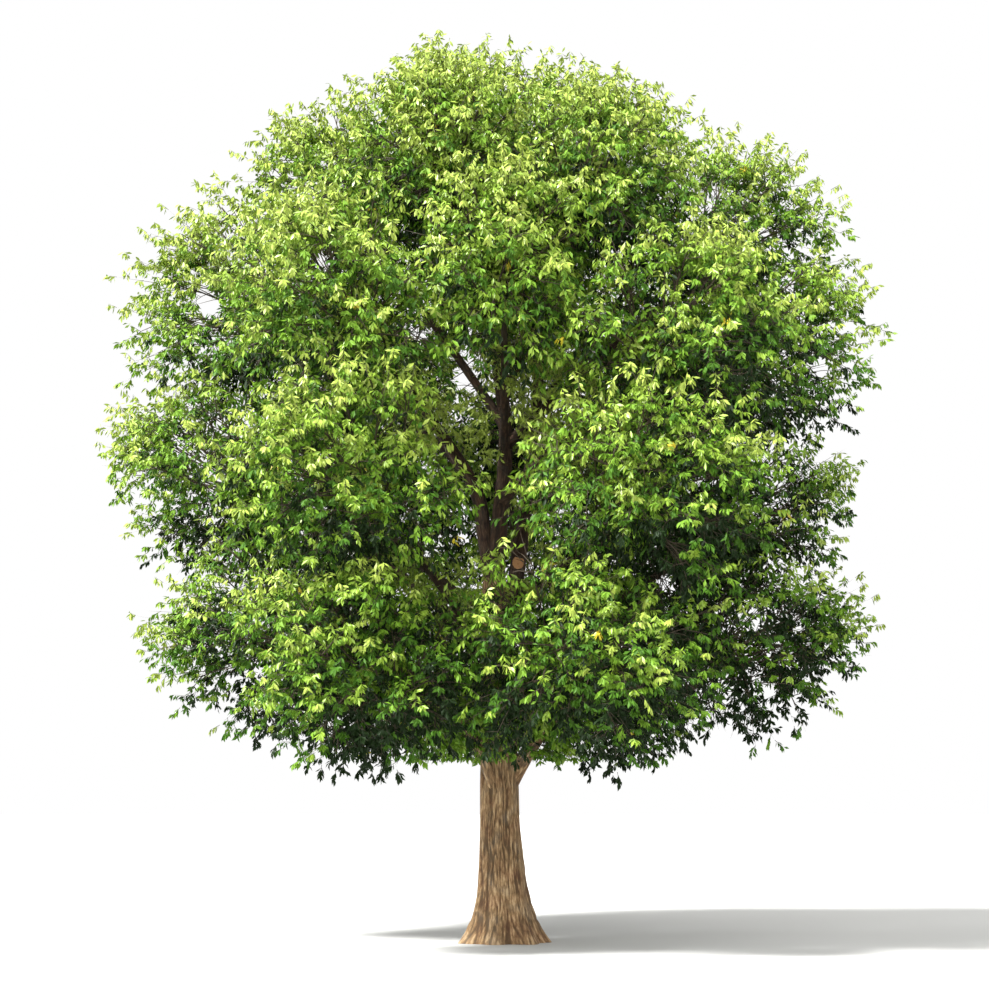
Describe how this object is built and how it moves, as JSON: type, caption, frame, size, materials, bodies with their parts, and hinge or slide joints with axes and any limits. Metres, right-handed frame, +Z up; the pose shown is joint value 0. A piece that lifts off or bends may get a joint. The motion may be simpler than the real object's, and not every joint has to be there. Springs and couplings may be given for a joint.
{
  "type": "broadleaf tree",
  "caption": "Mature broadleaf shade tree: a flared trunk forking into leaders, arching boughs and a dense, rounded crown of leafy masses, cut flat at ground level.",
  "frame": {"origin": "middle of the flat cut under the trunk, at ground level", "axes": "+Z up along the trunk; -Y towards the viewer of the picture; +X to the viewer's right"},
  "size_m": [10.3707, 9.6395, 11.985],
  "materials": {
    "bark": "rough furrowed grey-brown bark",
    "foliage": "dense mid-green leaves with a soft sheen"
  },
  "bodies": {
    "root": {"bough_crown_left": "bark", "bough_crown_right": "bark", "bough_lower_back": "bark", "bough_lower_back_left": "bark", "bough_lower_back_right": "bark", "bough_lower_front_left": "bark", "bough_lower_front_right": "bark", "bough_lower_left": "bark", "bough_lower_right": "bark", "bough_skirt_back_left": "bark", "bough_skirt_back_right": "bark", "bough_skirt_front_left": "bark", "bough_skirt_front_right": "bark", "bough_skirt_left": "bark", "bough_skirt_right": "bark", "bough_top_back": "bark", "bough_top_front_left": "bark", "bough_top_front_right": "bark", "bough_top_left": "bark", "bough_top_right": "bark", "bough_upper_back_left": "bark", "bough_upper_back_right": "bark", "bough_upper_front": "bark", "bough_upper_front_left": "bark", "bough_upper_front_right": "bark", "bough_upper_left": "bark", "bough_upper_right": "bark", "centre_leader": "bark", "foliage_crown_left": "foliage", "foliage_crown_right": "foliage", "foliage_lower_back": "foliage", "foliage_lower_back_left": "foliage", "foliage_lower_back_right": "foliage", "foliage_lower_front_left": "foliage", "foliage_lower_front_right": "foliage", "foliage_lower_left": "foliage", "foliage_lower_right": "foliage", "foliage_skirt_back_left": "foliage", "foliage_skirt_back_right": "foliage", "foliage_skirt_front_left": "foliage", "foliage_skirt_front_right": "foliage", "foliage_skirt_left": "foliage", "foliage_skirt_right": "foliage", "foliage_top_back": "foliage", "foliage_top_front_left": "foliage", "foliage_top_front_right": "foliage", "foliage_top_left": "foliage", "foliage_top_right": "foliage", "foliage_upper_back_left": "foliage", "foliage_upper_back_right": "foliage", "foliage_upper_front": "foliage", "foliage_upper_front_left": "foliage", "foliage_upper_front_right": "foliage", "foliage_upper_left": "foliage", "foliage_upper_right": "foliage", "left_leader": "bark", "right_leader": "bark", "sawn_stub": "bark", "trunk": "bark"}
  },
  "joints": []
}
